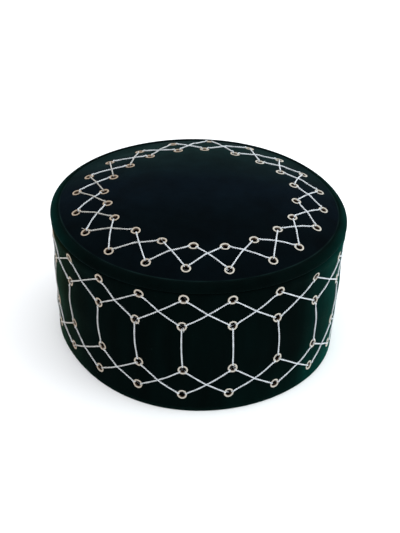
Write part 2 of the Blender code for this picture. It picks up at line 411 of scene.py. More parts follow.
def onto_band(drawing, lift):
    """Points of the rolled-out cloth, at a lift in front of the band."""
    raised = lift + band_relief(drawing)
    angle, height = drawing[..., 0] / BAND_TOP_RADIUS, drawing[..., 1]
    return place(band_radius(height) + raised, height, angle)


pits = crown_relief(SEATS["inner"])
print("relief at the inner eyelets in mm:", np.round(1000.0 * np.array([pits.min(), pits.max()]), 2))

# %% [markdown]
# ## From grids to meshes
#
# Every piece is made of grids of points: shells wrap round the cap, eyelets and cords round a
# small section. One helper joins neighbouring points into faces for all copies at once. The
# Screw or Curve tools could make the plain shapes, but they know nothing of the relief.

# %% Mesh helpers
def grid_faces(copies, rows, columns, closed_rows):
    """Corners of the faces (i, j), (i+1, j), (i+1, j+1), (i, j+1); columns always wrap round."""
    copy = np.arange(copies)[:, None, None] * rows * columns
    row = np.arange(rows if closed_rows else rows - 1)[None, :, None]
    column = np.arange(columns)[None, None, :]
    below = (row + 1) % rows
    beside = (column + 1) % columns
    corners = [row * columns + column, below * columns + column,
               below * columns + beside, row * columns + beside]
    return np.stack([copy + corner for corner in corners], -1).reshape(-1, 4)


def mesh_piece(name, points, *face_groups):
    """An object at the origin, from all its points and groups of faces with equal corners."""
    points = np.ascontiguousarray(points, dtype=np.float32).reshape(-1, 3)
    corners = np.concatenate([group.ravel() for group in face_groups]).astype(np.int32)
    sizes = np.concatenate([np.full(len(group), group.shape[1]) for group in face_groups])
    starts = np.concatenate([[0], np.cumsum(sizes)[:-1]]).astype(np.int32)
    mesh = bpy.data.meshes.new(name)
    mesh.vertices.add(len(points))
    mesh.vertices.foreach_set("co", points.ravel())
    mesh.loops.add(len(corners))
    mesh.loops.foreach_set("vertex_index", corners)
    mesh.polygons.add(len(sizes))
    mesh.polygons.foreach_set("loop_start", starts)
    mesh.update(calc_edges=True)
    mesh.validate()
    mesh.shade_smooth()
    piece = bpy.data.objects.new(name, mesh)
    bpy.context.scene.collection.objects.link(piece)
    return piece


def tube_piece(name, points):
    """An object of tubes from copies of rows of circles, the first and last row closed flat."""
    copies, rows, columns = points.shape[:3]
    copy = np.arange(copies)[:, None] * rows * columns
    column = np.arange(columns)[None, :]
    caps = np.concatenate([copy + column, copy + (rows - 1) * columns + column[:, ::-1]])
    return mesh_piece(name, points, grid_faces(copies, rows, columns, False), caps)


def store(piece, name, values):
    """One number or one vector for each point of the piece, for its material to read."""
    values = np.ascontiguousarray(values, dtype=np.float32)
    kind, slot = ("FLOAT", "value") if values.ndim == 1 else ("FLOAT_VECTOR", "vector")
    attribute = piece.data.attributes.new(name, kind, "POINT")
    attribute.data.foreach_set(slot, values.ravel())


def mesh_points(piece):
    """All points of a piece as one array."""
    points = np.empty(3 * len(piece.data.vertices), dtype=np.float32)
    piece.data.vertices.foreach_get("co", points)
    return points.reshape(-1, 3).astype(float)


def unit(vectors):
    """The vectors at length one."""
    return vectors / np.linalg.norm(vectors, axis=-1, keepdims=True)


def triangles(piece):
    """Number of triangles in a piece."""
    return sum(len(face.vertices) - 2 for face in piece.data.polygons)


# %% [markdown]
# ## The two cloth pieces
#
# Each is a profile of stations swept round the cap, and the outer stations carry the relief.
# At the crown's crease a few close stations pinch the velvet into a thin raised line. The
# eyelets could be painted on, but here they are real holes, cut by one Boolean with small round
# punches, so that light shows through them.

# %% Profiles of the cloth
AROUND = 480
DOME_STATIONS = 50
ROLL_STATIONS = 16
WALL_STATIONS = 62
TURN_STATIONS = 5
LINING_STATIONS = 18
PINCH_HEIGHT = 0.00035
PINCH_HALF_WIDTH = 0.0005
PINCH_STEPS = (-2.4, -1.5, -0.9, -0.4, 0.0, 0.4, 0.9, 1.5)
PINCH_DROP = 0.0001
POLE_RADIUS = 0.0008
UNDERSIDE_SHARE = 0.97


def crown_stations():
    """Radius and height along the dome, pinch, roll, seam face and underside."""
    dome = np.linspace(POLE_RADIUS, CREASE_RADIUS - 3.0 * PINCH_HALF_WIDTH, DOME_STATIONS)
    pinch = CREASE_RADIUS + PINCH_HALF_WIDTH * np.array(PINCH_STEPS)
    raised = PINCH_HEIGHT * nearness(pinch - CREASE_RADIUS, PINCH_HALF_WIDTH)
    pinch_height = np.minimum(dome_height(pinch), CREASE_HEIGHT + 0.5 * (CREASE_RADIUS - pinch))
    pinch_height = np.where(pinch > CREASE_RADIUS, CREASE_HEIGHT - PINCH_DROP, pinch_height) + raised
    turn = np.radians(np.linspace(ROLL_ARC[0], ROLL_ARC[1], ROLL_STATIONS))
    inside = BAND_TOP_RADIUS - BAND_WALL
    under = np.linspace(CREASE_RADIUS * UNDERSIDE_SHARE, POLE_RADIUS, LINING_STATIONS)
    radii = [dome, pinch, ROLL_MIDDLE_RADIUS + ROLL_HALF_WIDTH * np.cos(turn),
             (inside, inside - ROLL_INNER_STEP), under]
    heights = [dome_height(dome), pinch_height, ROLL_MIDDLE_HEIGHT + ROLL_HALF_HEIGHT * np.sin(turn),
               (SEAM_HEIGHT, ROLL_MIDDLE_HEIGHT), dome_height(under) - CROWN_WALL]
    return np.stack([np.concatenate(radii), np.concatenate(heights)], -1)


def band_stations():
    """Radius and height along the outer skin, hem and inner skin."""
    turn = BAND_TOP_HEIGHT - SEAM_TURN * np.linspace(0.0, 1.0, TURN_STATIONS) ** 2
    wall = np.linspace(turn[-1] - MM, HEM_HEIGHT, WALL_STATIONS - TURN_STATIONS)
    heights = np.concatenate([turn, wall])
    outer = np.stack([band_radius(heights), heights], -1)
    hem_inside = HEM_RADIUS - HEM_WALL
    corner = 0.3 * HEM_ROUNDING
    rounding = np.array([(0.0, HEM_ROUNDING), (corner, corner), (HEM_ROUNDING, 0.0)])
    hem = np.concatenate([(HEM_RADIUS, 0.0) + (-1.0, 1.0) * rounding,
                          ((hem_inside, 0.0) + rounding)[::-1]])
    heights = np.linspace(HEM_HEIGHT, BAND_TOP_HEIGHT, LINING_STATIONS)
    walls = np.full(LINING_STATIONS, BAND_WALL)
    walls[0] = HEM_WALL
    inner = np.stack([band_radius(heights) - walls, heights], -1)
    return np.concatenate([outer, hem, inner])


def sweep(profile, lifts, angle):
    """The profile's stations at every angle, each moved along its own outward normal."""
    way = unit(np.gradient(profile, axis=0))
    radius = profile[:, :1] - way[:, 1:] * lifts
    height = profile[:, 1:] + way[:, :1] * lifts
    return place(radius, height, angle[None, :])


print("stations: crown", len(crown_stations()), "band", len(band_stations()))

# %% Shells before the eyelets are cut
def crown_shell():
    """The crown as one closed skin: rows of stations, and a fan to a pole at both ends."""
    profile = crown_stations()
    angle = turns(AROUND)
    plan = place(profile[:DOME_STATIONS, :1], CREASE_HEIGHT, angle[None, :])[..., :2]
    lifts = np.zeros((len(profile), AROUND))
    lifts[:DOME_STATIONS] = crown_relief(plan)
    rows = sweep(profile, lifts, angle)
    middle = crown_relief(np.zeros((1, 2)))[0]
    poles = np.array([(0.0, 0.0, dome_height(0.0) + middle),
                      (0.0, 0.0, dome_height(0.0) - CROWN_WALL)])
    points = np.concatenate([rows.reshape(-1, 3), poles])
    faces = grid_faces(1, len(profile), AROUND, False)
    ring = np.arange(AROUND)
    beside = (ring + 1) % AROUND
    last = (len(profile) - 1) * AROUND
    top_pole = np.full(AROUND, len(points) - 2)
    low_pole = np.full(AROUND, len(points) - 1)
    fans = np.concatenate([np.stack([top_pole, ring, beside], -1),
                           np.stack([last + ring, low_pole, last + beside], -1)])
    return mesh_piece("crown_cloth", points, faces, fans)


def band_shell():
    """The band as one closed skin: its profile is a loop, swept round the cap."""
    profile = band_stations()
    angle = turns(AROUND)
    heights = profile[:WALL_STATIONS, 1:]
    drawing = np.stack(np.broadcast_arrays(angle[None, :] * BAND_TOP_RADIUS, heights), -1)
    lifts = np.zeros((len(profile), AROUND))
    lifts[:WALL_STATIONS] = band_relief(drawing)
    rows = sweep(profile, lifts, angle)
    return mesh_piece("band_cloth", rows, grid_faces(1, len(profile), AROUND, True))


crown_cloth = crown_shell()
band_cloth = band_shell()
print("triangles before the cut:", triangles(crown_cloth), triangles(band_cloth))

# %% Frames of the eyelets
FRAME_STEP = 0.0025


def frames(onto, rings):
    """Middle of each eyelet, and unit vectors along its ring, across it and out of the cloth.

    They are measured from a step on either side, as wide as a ring lies on the cloth.
    """
    drawing = np.concatenate([SEATS[ring] for ring in rings])
    east = unit(onto(drawing + (FRAME_STEP, 0.0), 0.0) - onto(drawing - (FRAME_STEP, 0.0), 0.0))
    north = onto(drawing + (0.0, FRAME_STEP), 0.0) - onto(drawing - (0.0, FRAME_STEP), 0.0)
    out = unit(np.cross(east, north))
    return onto(drawing, 0.0), east, np.cross(out, east), out


crown_frames = frames(onto_crown, CROWN_RINGS)
band_frames = frames(onto_band, BAND_ROWS)
print("eyelets on the crown and the band:", len(crown_frames[0]), len(band_frames[0]))

# %% Eyelet holes
HOLE_RADIUS = 0.0021
PUNCH_SIDES = 20
PUNCH_REACH = 0.0045


def punches(name, eyelet_frames):
    """One closed prism through the cloth at each eyelet, as a cutter."""
    middle, east, north, out = [part[:, None, None, :] for part in eyelet_frames]
    turn = turns(PUNCH_SIDES)[None, None, :, None]
    depth = np.array((PUNCH_REACH, -PUNCH_REACH))[None, :, None, None]
    circle = HOLE_RADIUS * (np.cos(turn) * east + np.sin(turn) * north)
    return tube_piece(name, middle + circle + depth * out)


def pierce(piece, cutter):
    """Cut the punches out of the piece, keep the cut mesh and remove the cutter."""
    cut = piece.modifiers.new("eyelets", "BOOLEAN")
    cut.operation = "DIFFERENCE"
    cut.solver = "EXACT"
    cut.object = cutter
    bpy.context.view_layer.update()
    evaluated = piece.evaluated_get(bpy.context.evaluated_depsgraph_get())
    whole = piece.data
    pierced = bpy.data.meshes.new_from_object(evaluated)
    piece.modifiers.clear()
    piece.data = pierced
    bpy.data.meshes.remove(whole)
    bpy.data.objects.remove(cutter)


pierce(crown_cloth, punches("crown_punches", crown_frames))
pierce(band_cloth, punches("band_punches", band_frames))
for piece in (crown_cloth, band_cloth):
    piece.data.set_sharp_from_angle(angle=math.radians(40.0))
    print(piece.name, "has", triangles(piece), "triangles after the cut")

# %% [markdown]
# ## The eyelets
#
# Each hole is bound with cream thread. A smooth torus would look like a metal grommet, so the
# binding is a small closed section, carried round the hole and down into it, that swells and
# sinks with every stitch. Seeded random numbers make each ring a little uneven.

# %% Eyelet rings
RING_STEPS = 72
RING_STITCHES = 24
STITCH_SWELL = 0.00009
RING_WOBBLE = 0.04
RING_SEED = 7
RING_MIDDLE = 0.0027
# How fast the painted shade down the hole darkens with depth
HOLE_SHADE_BY_DEPTH = 2500.0

# Section of the binding: (distance from the hole's middle, height over the cloth), in mm,
# from the foot on the cloth over the crest and down the hole
RING_SECTION = (
    (3.10, -0.30), (3.07, 0.08), (2.90, 0.30), (2.60, 0.40), (2.30, 0.32),
    (2.10, 0.08), (2.02, -0.40), (2.02, -1.60), (2.30, -1.60), (2.55, -0.30),
)


def eyelet_rings(name, eyelet_frames, chance):
    """A bound ring at each eyelet: its section swept round, swelling as |cos(n a / 2)|."""
    middle, east, north, out = [part[:, None, None, :] for part in eyelet_frames]
    copies = len(middle)
    across, over = MM * np.array(RING_SECTION).T[:, None, :, None]
    turn = turns(RING_STEPS)
    phases = chance.uniform(0.0, 2.0 * math.pi, (2, copies, 1, 1))
    wobble = RING_WOBBLE * (np.sin(2.0 * turn + phases[0]) + 0.6 * np.sin(3.0 * turn + phases[1]))
    bead = np.abs(np.cos(0.5 * RING_STITCHES * (turn + 0.3 * wobble)))
    reach = across * (1.0 + 0.5 * wobble)
    reach = reach + (bead - 0.5) * np.where(reach > RING_MIDDLE, STITCH_SWELL, -0.5 * STITCH_SWELL)
    rise = (over + STITCH_SWELL * bead * (over > 0.0)) * (1.0 + wobble)
    spoke = np.cos(turn)[:, None] * east + np.sin(turn)[:, None] * north
    points = middle + reach[..., None] * spoke + rise[..., None] * out
    faces = grid_faces(copies, len(RING_SECTION), RING_STEPS, True)
    piece = mesh_piece(name, points, faces[:, ::-1])
    # Painted shade between the stitches
    store(piece, "shade_between_stitches", np.broadcast_to(1.0 - bead, rise.shape).ravel())
    # Painted dark brown shade down the hole, deeper below the cloth
    store(piece, "shade_down_the_hole", np.clip(-HOLE_SHADE_BY_DEPTH * rise, 0.0, 1.0).ravel())
    return piece


chance = np.random.default_rng(RING_SEED)
crown_rings = eyelet_rings("crown_eyelets", crown_frames, chance)
band_rings = eyelet_rings("band_eyelets", band_frames, chance)
print("triangles in the rings:", triangles(crown_rings), triangles(band_rings))

# %% [markdown]
# ## The silver cord
#
# The lines are a cord of two twisted plies, laid on the velvet. A plain tube with a twist drawn
# on it would stay smooth against the light, so both plies are modelled: each is a tube that
# winds round the cord's axis. At a crossing one cord humps over the other and presses it into
# the pile, and at each end it climbs over the eyelet's ring and dives into the hole.

# %% Cord
PLY_RADIUS = 0.00023
PLY_OFFSET = 0.00024
PLY_SIDES = 6
# Painted shade between the plies: none where the ply's surface lies PLY_TOP or more from the cord's
# axis, full VALLEY_DEPTH nearer
PLY_TOP = 0.00038
VALLEY_DEPTH = 0.00020
TWIST_PITCH = 0.0030
WAVER = 0.10
WAVER_LENGTHS = (0.0011, 0.0037)
CORD_LIFT = 0.00038
CROSSING_LIFT = 0.00040
CROSSING_SINK = 0.00020
CROSSING_REACH = 0.0030
CORD_END = 0.0017
RING_CREST = 0.0025
RING_LIFT = 0.00048
RING_REACH = 0.0012
DIVE_DEPTH = 0.0011
DIVE_REACH = 0.0005
CORD_SEED = 11


def tubes(path, up, radius, sides):
    """Circles round each path, square to it: radius (cos t side + sin t up), and those t."""
    forward = unit(np.gradient(path, axis=1))
    side = unit(np.cross(forward, up))
    upright = np.cross(side, forward)
    turn = turns(sides)
    circle = (np.cos(turn)[:, None] * side[:, :, None] + np.sin(turn)[:, None] * upright[:, :, None])
    return path[:, :, None] + radius[:, :, None, None] * circle, turn


def cord_axes(family, onto):
    """Axis of each cord of a family on the cloth, the way out of the cloth, and its length."""
    on_top = LINE_FAMILIES[family][3]
    drawing = line_drawing(family, LINE_SAMPLES, CORD_END)
    flat = path_lengths(drawing)
    from_middle = CORD_END + np.minimum(flat, flat[:, -1:] - flat)
    lift = CORD_LIFT + RING_LIFT * nearness(from_middle - RING_CREST, RING_REACH)
    lift = lift - DIVE_DEPTH * nearness(from_middle - CORD_END, DIVE_REACH)
    if family != "post":
        hump = CROSSING_LIFT if on_top else -CROSSING_SINK
        lift = lift + hump * nearness(flat - 0.5 * flat[:, -1:], CROSSING_REACH)
    axis = onto(drawing, lift)
    out = unit(onto(drawing, lift + MM) - axis)
    return axis, out, path_lengths(axis)


def lay_cords(family, onto, chance):
    """Two-ply cords along a family's lines: a ply is axis + offset (cos t across + sin t out).

    The turn t is 2 pi length / pitch, and the offset and thickness waver a little.
    """
    paths, ups, lengths = cord_axes(family, onto)
    across = unit(np.cross(unit(np.gradient(paths, axis=1)), ups))
    start = chance.uniform(0.0, 2.0 * math.pi, (len(paths), 1))
    long, short = lengths / WAVER_LENGTHS[1], lengths / WAVER_LENGTHS[0]
    waver = 1.0 + WAVER * np.sin(short + 2.0 * start) * np.cos(long + start)
    plies = []
    for ply in (0.0, math.pi):
        twist = 2.0 * math.pi * lengths / TWIST_PITCH + start + ply
        swing = np.cos(twist)[..., None] * across + np.sin(twist)[..., None] * ups
        strand = paths + PLY_OFFSET * waver[..., None] * swing
        points, turn = tubes(strand, ups, PLY_RADIUS * waver, PLY_SIDES)
        along = (lengths + start)[..., None]
        grain = np.broadcast_arrays(along, PLY_RADIUS * np.cos(turn), PLY_RADIUS * np.sin(turn))
        outward = np.linalg.norm(points - paths[:, :, None], axis=-1)
        # The third part is the share of painted shade in the valleys between the plies
        plies.append((points, np.stack(grain, -1), ramp(PLY_TOP - outward, 0.0, VALLEY_DEPTH)))
    points, grain, valleys = [np.concatenate(parts) for parts in zip(*plies)]
    piece = tube_piece(family + "_cords", points)
    store(piece, "straightened", grain.reshape(-1, 3))
    store(piece, "shade_between_plies", valleys.ravel())
    return piece


chance = np.random.default_rng(CORD_SEED)
cords = {}
for family in LINE_FAMILIES:
    onto = onto_crown if family.startswith("crown") else onto_band
    cords[family] = lay_cords(family, onto, chance)
    print(cords[family].name, "has", triangles(cords[family]), "triangles")

# %% [markdown]
# ## Loose ends
#
# A few short ends of thread stick out at the eyelets, where the embroiderer cut them off. They
# are thin single tubes that start in the hole or beside the ring, and curl.

# %% Loose ends of thread
END_RADIUS = 0.00012
END_SAMPLES = 12
END_LIFT = 0.0003
HEART = (0.0, 0.0, 0.030)

# Loose end: (ring or row, column, direction on the drawing in degrees,
#             start from the hole's middle in mm, length in mm, curl)
LOOSE_ENDS = (
    ("outer", 17, 106, 3.1, 1.5, 0.3),
    ("outer", 1, 205, 0.6, 1.6, -0.5),
    ("inner", 3, 250, 1.0, 2.3, 0.7),
    ("inner", 19, 80, 0.5, 1.6, 0.5),
    ("upper", 19, 300, 0.8, 2.6, 0.5),
    ("upper", 0, 318, 0.8, 2.7, -0.5),
    ("upper", 1, 150, 0.5, 1.6, 0.6),
    ("lower", 1, 60, 0.5, 1.5, -0.5),
    ("lower", 19, 220, 0.5, 1.6, 0.6),
    ("hem", 1, 110, 0.6, 1.6, 0.6),
)


def lay_loose_ends():
    """Tubes beside each hole: p + s (cos(d + curl s / length), sin(...)) on the drawing."""
    share = np.linspace(0.0, 1.0, END_SAMPLES)
    paths = []
    for ring, column, direction, begin, length, curl in LOOSE_ENDS:
        onto = onto_crown if ring in CROWN_RINGS else onto_band
        turn = math.radians(direction) + curl * share
        reach = MM * (begin + length * share)
        way = np.stack([np.cos(turn), np.sin(turn)], -1)
        spots = SEATS[ring][column] + reach[:, None] * way
        paths.append(onto(spots, END_LIFT + END_LIFT * share))
    paths = np.array(paths)
    ups = unit(paths - HEART)
    points, turn = tubes(paths, ups, np.full(paths.shape[:2], END_RADIUS), PLY_SIDES)
    piece = tube_piece("loose_ends", points)
    store(piece, "straightened", points.reshape(-1, 3))
    return piece


loose_ends = lay_loose_ends()
print("loose ends:", len(LOOSE_ENDS), "with", triangles(loose_ends), "triangles")

# %% [markdown]
# ## Velvet
#
# Velvet's upright pile swallows the light seen straight on, and catches it at its tips seen
# along the surface, which the shader's sheen gives; painted sheen and painted light in the
# cloths' colours add to it on the cap's sides. The pile lies this way and that in patches,
# so its colour is mottled. Both cloths use one node group for this, each with its own colours.

# %% Node helpers
def new_material(name):
    """A material, its node tree, and the inputs of its Principled shader."""
    material = bpy.data.materials.new(name)
    material.use_nodes = True
    tree = material.node_tree
    return material, tree, tree.nodes["Principled BSDF"].inputs


def add_node(tree, kind, inputs=(), **settings):
    """Outputs of a new node with some settings, and inputs from sockets or plain values."""
    node = tree.nodes.new(kind)
    for name, value in settings.items():
        setattr(node, name, value)
    for slot, source in dict(inputs).items():
        if isinstance(source, bpy.types.NodeSocket):
            tree.links.new(source, node.inputs[slot])
        else:
            node.inputs[slot].default_value = source
    return node.outputs


def new_group(name, inputs):
    """A node group that gives a colour, roughness and height, and its sockets seen from inside."""
    group = bpy.data.node_groups.new(name, "ShaderNodeTree")
    outputs = {"Color": "Color", "Roughness": "Float", "Height": "Float"}
    for side, sockets in (("INPUT", inputs), ("OUTPUT", outputs)):
        for label, kind in sockets.items():
            group.interface.new_socket(label, in_out=side, socket_type="NodeSocket" + kind)
    given = group.nodes.new("NodeGroupInput").outputs
    return group, given, group.nodes.new("NodeGroupOutput").inputs


def mix_colours(tree, share, first, second):
    """The first colour mixed towards the second by a share."""
    inputs = {0: share, 6: first, 7: second}
    return add_node(tree, "ShaderNodeMix", inputs, data_type="RGBA")[2]


def read_attribute(tree, name, output="Fac"):
    """A number or vector stored on the mesh."""
    return add_node(tree, "ShaderNodeAttribute", attribute_name=name)[output]


def rescaled(tree, value, low, high, bottom=0.0, top=1.0):
    """A value carried from the range low to high to the range bottom to top."""
    return add_node(tree, "ShaderNodeMapRange", {
        "Value": value, "From Min": low, "From Max": high, "To Min": bottom, "To Max": top})["Result"]


def calculate(tree, operation, first, second, **settings):
    """Sum, product or the like of two values."""
    inputs = {0: first, 1: second}
    return add_node(tree, "ShaderNodeMath", inputs, operation=operation, **settings)["Value"]


def dress(tree, shader, group, strength, depth):
    """Links a group's colour, roughness and height to the shader, the height as a bump."""
    bump = add_node(tree, "ShaderNodeBump",
                    {"Height": group["Height"], "Strength": strength, "Distance": depth})
    tree.links.new(group["Color"], shader["Base Color"])
    tree.links.new(group["Roughness"], shader["Roughness"])
    tree.links.new(bump["Normal"], shader["Normal"])


# %% Velvet pile group
def make_pile_group():
    """Mottled pile: broad patches and fine tufts lighten the dye and its painted light, the tufts give
    height, and the worn colour mixes in by the share of wear and painted highlight.
    """
    group, given, wanted = new_group("velvet_pile", {
        "Dye_and_painted_light": "Color", "Worn_and_highlight": "Color", "Wear_and_highlight": "Float", "Patches": "Float", "Stretch": "Vector"})
    spot = add_node(group, "ShaderNodeTexCoord")["Object"]
    stretched = add_node(group, "ShaderNodeVectorMath", {0: spot, 1: given["Stretch"]},
                         operation="MULTIPLY")["Vector"]
    patches = add_node(group, "ShaderNodeTexNoise", {
        "Vector": stretched, "Scale": 55.0, "Detail": 4.0, "Roughness": 0.6})["Fac"]
    tufts = add_node(group, "ShaderNodeTexNoise", {
        "Vector": spot, "Scale": 2600.0, "Detail": 2.0, "Roughness": 0.7})["Fac"]
    strength = calculate(group, "MULTIPLY", rescaled(group, patches, 0.35, 0.70), given["Patches"])
    speckle = rescaled(group, tufts, 0.40, 0.75, 0.0, 0.35)
    share = calculate(group, "ADD", strength, speckle, use_clamp=True)
    lightness = rescaled(group, share, 0.0, 1.0, 0.70, 1.80)
    mottled = add_node(group, "ShaderNodeVectorMath", {0: given["Dye_and_painted_light"], "Scale": lightness},
                       operation="SCALE")["Vector"]
    roughness = rescaled(group, patches, 0.0, 1.0, 0.85, 1.0)
    group.links.new(mix_colours(group, given["Wear_and_highlight"], mottled, given["Worn_and_highlight"]), wanted["Color"])
    group.links.new(roughness, wanted["Roughness"])
    group.links.new(tufts, wanted["Height"])
    return group


pile_group = make_pile_group()
print("velvet group has", len(pile_group.nodes), "nodes")

# %% Velvet materials
VELVET_SPECULAR = 0.01
PILE_BUMP = 0.35
PILE_DEPTH = 0.0003

SHEEN_ROUGHNESS = 0.26

# Velvet: (colour of wear on the band's hem and of the painted highlight on the crown's crease,
#          patch strength, stretch of the patches, sheen weight, sheen tint)
VELVETS = {
    "crown_velvet": ((0.010, 0.026, 0.024, 1.0), 0.6, (1.0, 1.0, 1.0), 0.032, (0.25, 0.78, 0.74, 1.0)),
    "band_velvet": ((0.006, 0.028, 0.022, 1.0), 0.7, (1.0, 1.0, 0.22), 0.050, (0.12, 0.85, 0.60, 1.0)),
}


def velvet(name):
    """One of the two velvets, with its dye and painted light, and its wear and painted highlight, read
    from the mesh.
    """
    worn_and_highlight_colour, patches, stretch, sheen, tint = VELVETS[name]
    material, tree, shader = new_material(name)
    pile = add_node(tree, "ShaderNodeGroup", node_tree=pile_group, inputs={
        "Dye_and_painted_light": read_attribute(tree, "dye_and_painted_light", "Vector"), "Wear_and_highlight": read_attribute(tree, "wear_and_highlight"),
        "Worn_and_highlight": worn_and_highlight_colour, "Patches": patches, "Stretch": stretch})
    dress(tree, shader, pile, PILE_BUMP, PILE_DEPTH)
    shader["Specular IOR Level"].default_value = VELVET_SPECULAR
    shader["Sheen Weight"].default_value = sheen
    shader["Sheen Roughness"].default_value = SHEEN_ROUGHNESS
    shader["Sheen Tint"].default_value = tint
    return material


def surface_coordinates(points):
    """Angle, round radius and height of points: the oval is divided out again."""
    angle = np.arctan2(points[:, 0], -points[:, 1])
    radius = np.hypot(points[:, 0], points[:, 1]) / outline(angle, points[:, 2])
    return angle, radius, points[:, 2]


# Linear colours of the cloth: the crown is blue-black, the band and the crown's roll green.
# Olive to the left is painted warm light from the left lamp, and emerald to the right is
# painted sheen, where the pile catches the light from the right.
CROWN_BLUE = np.array((0.0011, 0.0028, 0.0048))
GREEN = np.array((0.0004, 0.0019, 0.0018))
OLIVE_PAINTED_LIGHT = np.array((0.0032, 0.0056, 0.0006))
EMERALD_PAINTED_SHEEN = np.array((0.0002, 0.0262, 0.0203))

# Painted light on the crown, over its blue: darker at the front, lighter and greener towards
# the back, and darker again at the back edge: (colour, 1 to the back or -1 to the front,
# metres from the middle to where it starts, metres from there to where it is full)
CROWN_PAINTED_LIGHT = (
    ((0.0007, 0.0018, 0.0026), -1.0, 0.0, 0.035),
    ((0.0030, 0.0092, 0.0088), 1.0, 0.010, 0.060),
    ((0.0007, 0.0018, 0.0026), 1.0, 0.070, 0.015),
)
# Shares of painted sheen on the right and left sides of the crown's roll
ROLL_SHEEN_RIGHT, ROLL_SHEEN_LEFT = 0.46, 0.44
DYE_EDGE = 0.0006
# Painted highlight along the crown's crease, where the folded pile catches the light: its strength and
# half width
CREASE_HIGHLIGHT, CREASE_HIGHLIGHT_WIDTH = 0.42, 0.0004
HEM_WEAR, HEM_WORN_WIDTH = 0.20, 0.0016
# Height under which the painted sheen on the band's right side grows, as if lit from the bright floor
HEM_SHEEN_UNDER = 0.030


def blend(first, second, share):
    """Colours from the first to the second, by a share for each point."""
    return first + share[:, None] * (second - first)


def sideways(reach, power):
    """Share of a side's painted light, from where the sine of the angle is 0.6: ((s - 0.6) / 0.4) ^ p.
    """
    return ramp(reach, 0.6, 0.4) ** power


def crown_shades(points):
    """Dye and painted light of the crown: painted light front to back, green past the crease with
    painted sheen on the roll's sides, and a painted highlight in places along the crease.
    """
    angle, radius, height = surface_coordinates(points)
    blue = CROWN_BLUE
    # Painted light across the crown, from front to back
    for dye_and_painted_light, way, start, length in CROWN_PAINTED_LIGHT:
        blue = blend(blue, np.array(dye_and_painted_light), ramp(way * points[:, 1], start, length))
    past = ramp(radius, CREASE_RADIUS - 0.5 * DYE_EDGE, DYE_EDGE)
    # Painted highlight along the crease, uneven round the cap
    crease = nearness(radius - CREASE_RADIUS, CREASE_HIGHLIGHT_WIDTH) * (height > CREASE_HEIGHT - MM)
    spots = 0.6 + 0.4 * np.sin(11.0 * angle + 0.5) * np.sin(17.0 * angle + 2.0)
    outward = ramp(radius, CREASE_RADIUS, RIM_RADIUS - CREASE_RADIUS)
    # Painted sheen on the roll's right and left sides, growing outward from the crease
    green = blend(GREEN, EMERALD_PAINTED_SHEEN, ROLL_SHEEN_RIGHT * outward * sideways(np.sin(angle), 2.0))
    green = blend(green, EMERALD_PAINTED_SHEEN, ROLL_SHEEN_LEFT * outward * sideways(-np.sin(angle), 3.0))
    return blend(blue, green, past), CREASE_HIGHLIGHT * crease * spots


def band_shades(points):
    """Dye, painted light and wear of the band: painted warm light on the left, painted sheen on the
    right that grows near the hem, and wear along the hem.
    """
    angle, _, height = surface_coordinates(points)
    low = np.clip(1.0 - height / HEM_SHEEN_UNDER, 0.0, 1.0)
    right = np.clip(np.sin(angle), 0.0, 0.6)
    # Painted warm light on the left side, and painted sheen on the right side that grows near the hem
    green = blend(GREEN, OLIVE_PAINTED_LIGHT, sideways(-np.sin(angle), 3.0))
    green = blend(green, EMERALD_PAINTED_SHEEN, sideways(np.sin(angle), 2.0) * (0.8 + 1.2 * low) + 0.2 * right * low)
    return green, HEM_WEAR * nearness(height, HEM_WORN_WIDTH)


for piece, shades, name in ((crown_cloth, crown_shades, "crown_velvet"),
                            (band_cloth, band_shades, "band_velvet")):
    dye_and_painted_light, wear_and_highlight = shades(mesh_points(piece))
    store(piece, "dye_and_painted_light", dye_and_painted_light)
    store(piece, "wear_and_highlight", wear_and_highlight)
    piece.data.materials.append(velvet(name))
print("velvets:", list(VELVETS))

# %% [markdown]
# ## Thread
#
# Both threads are bundles of fine shining fibres, cool white in the cord and warm cream round
# the eyelets. One node group draws them as fine lines, and each material sets its colours.

# %% Thread fibre group
FIBRE_STRETCH = (500.0, 9000.0, 9000.0)


def make_fibre_group():
    """Fibres: noise stretched along X mixes the shaded colour into the light one, as does the painted
    shade in the hollows; the light colour takes painted shade on the left and back.
    """
    group, given, wanted = new_group("thread_fibres", {
        "Light": "Color", "Shaded": "Color", "Side_shade_colour": "Color", "Side_shade_share": "Float",
        "Vector": "Vector", "Hollow_shade": "Float"})
    stretched = add_node(group, "ShaderNodeVectorMath", {0: given["Vector"], 1: FIBRE_STRETCH},
                         operation="MULTIPLY")["Vector"]
    fibres = add_node(group, "ShaderNodeTexNoise", {
        "Vector": stretched, "Scale": 1.0, "Detail": 3.0})["Fac"]
    spread = rescaled(group, fibres, 0.40, 0.65, 0.0, 0.45)
    share = calculate(group, "MAXIMUM", spread, given["Hollow_shade"])
    light_with_side_shade = mix_colours(group, given["Side_shade_share"], given["Light"], given["Side_shade_colour"])
    roughness = rescaled(group, fibres, 0.0, 1.0, 0.35, 0.60)
    group.links.new(mix_colours(group, share, light_with_side_shade, given["Shaded"]), wanted["Color"])
    group.links.new(roughness, wanted["Roughness"])
    group.links.new(fibres, wanted["Height"])
    return group


fibre_group = make_fibre_group()
print("fibre group has", len(fibre_group.nodes), "nodes")

# %% Thread materials
FIBRE_BUMP = 0.4
FIBRE_DEPTH = 0.00006
STITCH_SHADE = 0.6
# Shares of painted shade on the threads' left side and at their back
SIDE_SHADE_LEFT, SIDE_SHADE_BACK = 0.75, 0.6

# Thread: (light colour, colour of painted shade in the hollows and between fibres, colour of painted
# warm shade on the left and back)
SILVER = ((0.84, 0.88, 0.92, 1.0), (0.10, 0.105, 0.115, 1.0), (0.43, 0.39, 0.32, 1.0))
CREAM = ((0.52, 0.49, 0.43, 1.0), (0.23, 0.185, 0.13, 1.0), (0.31, 0.21, 0.13, 1.0))
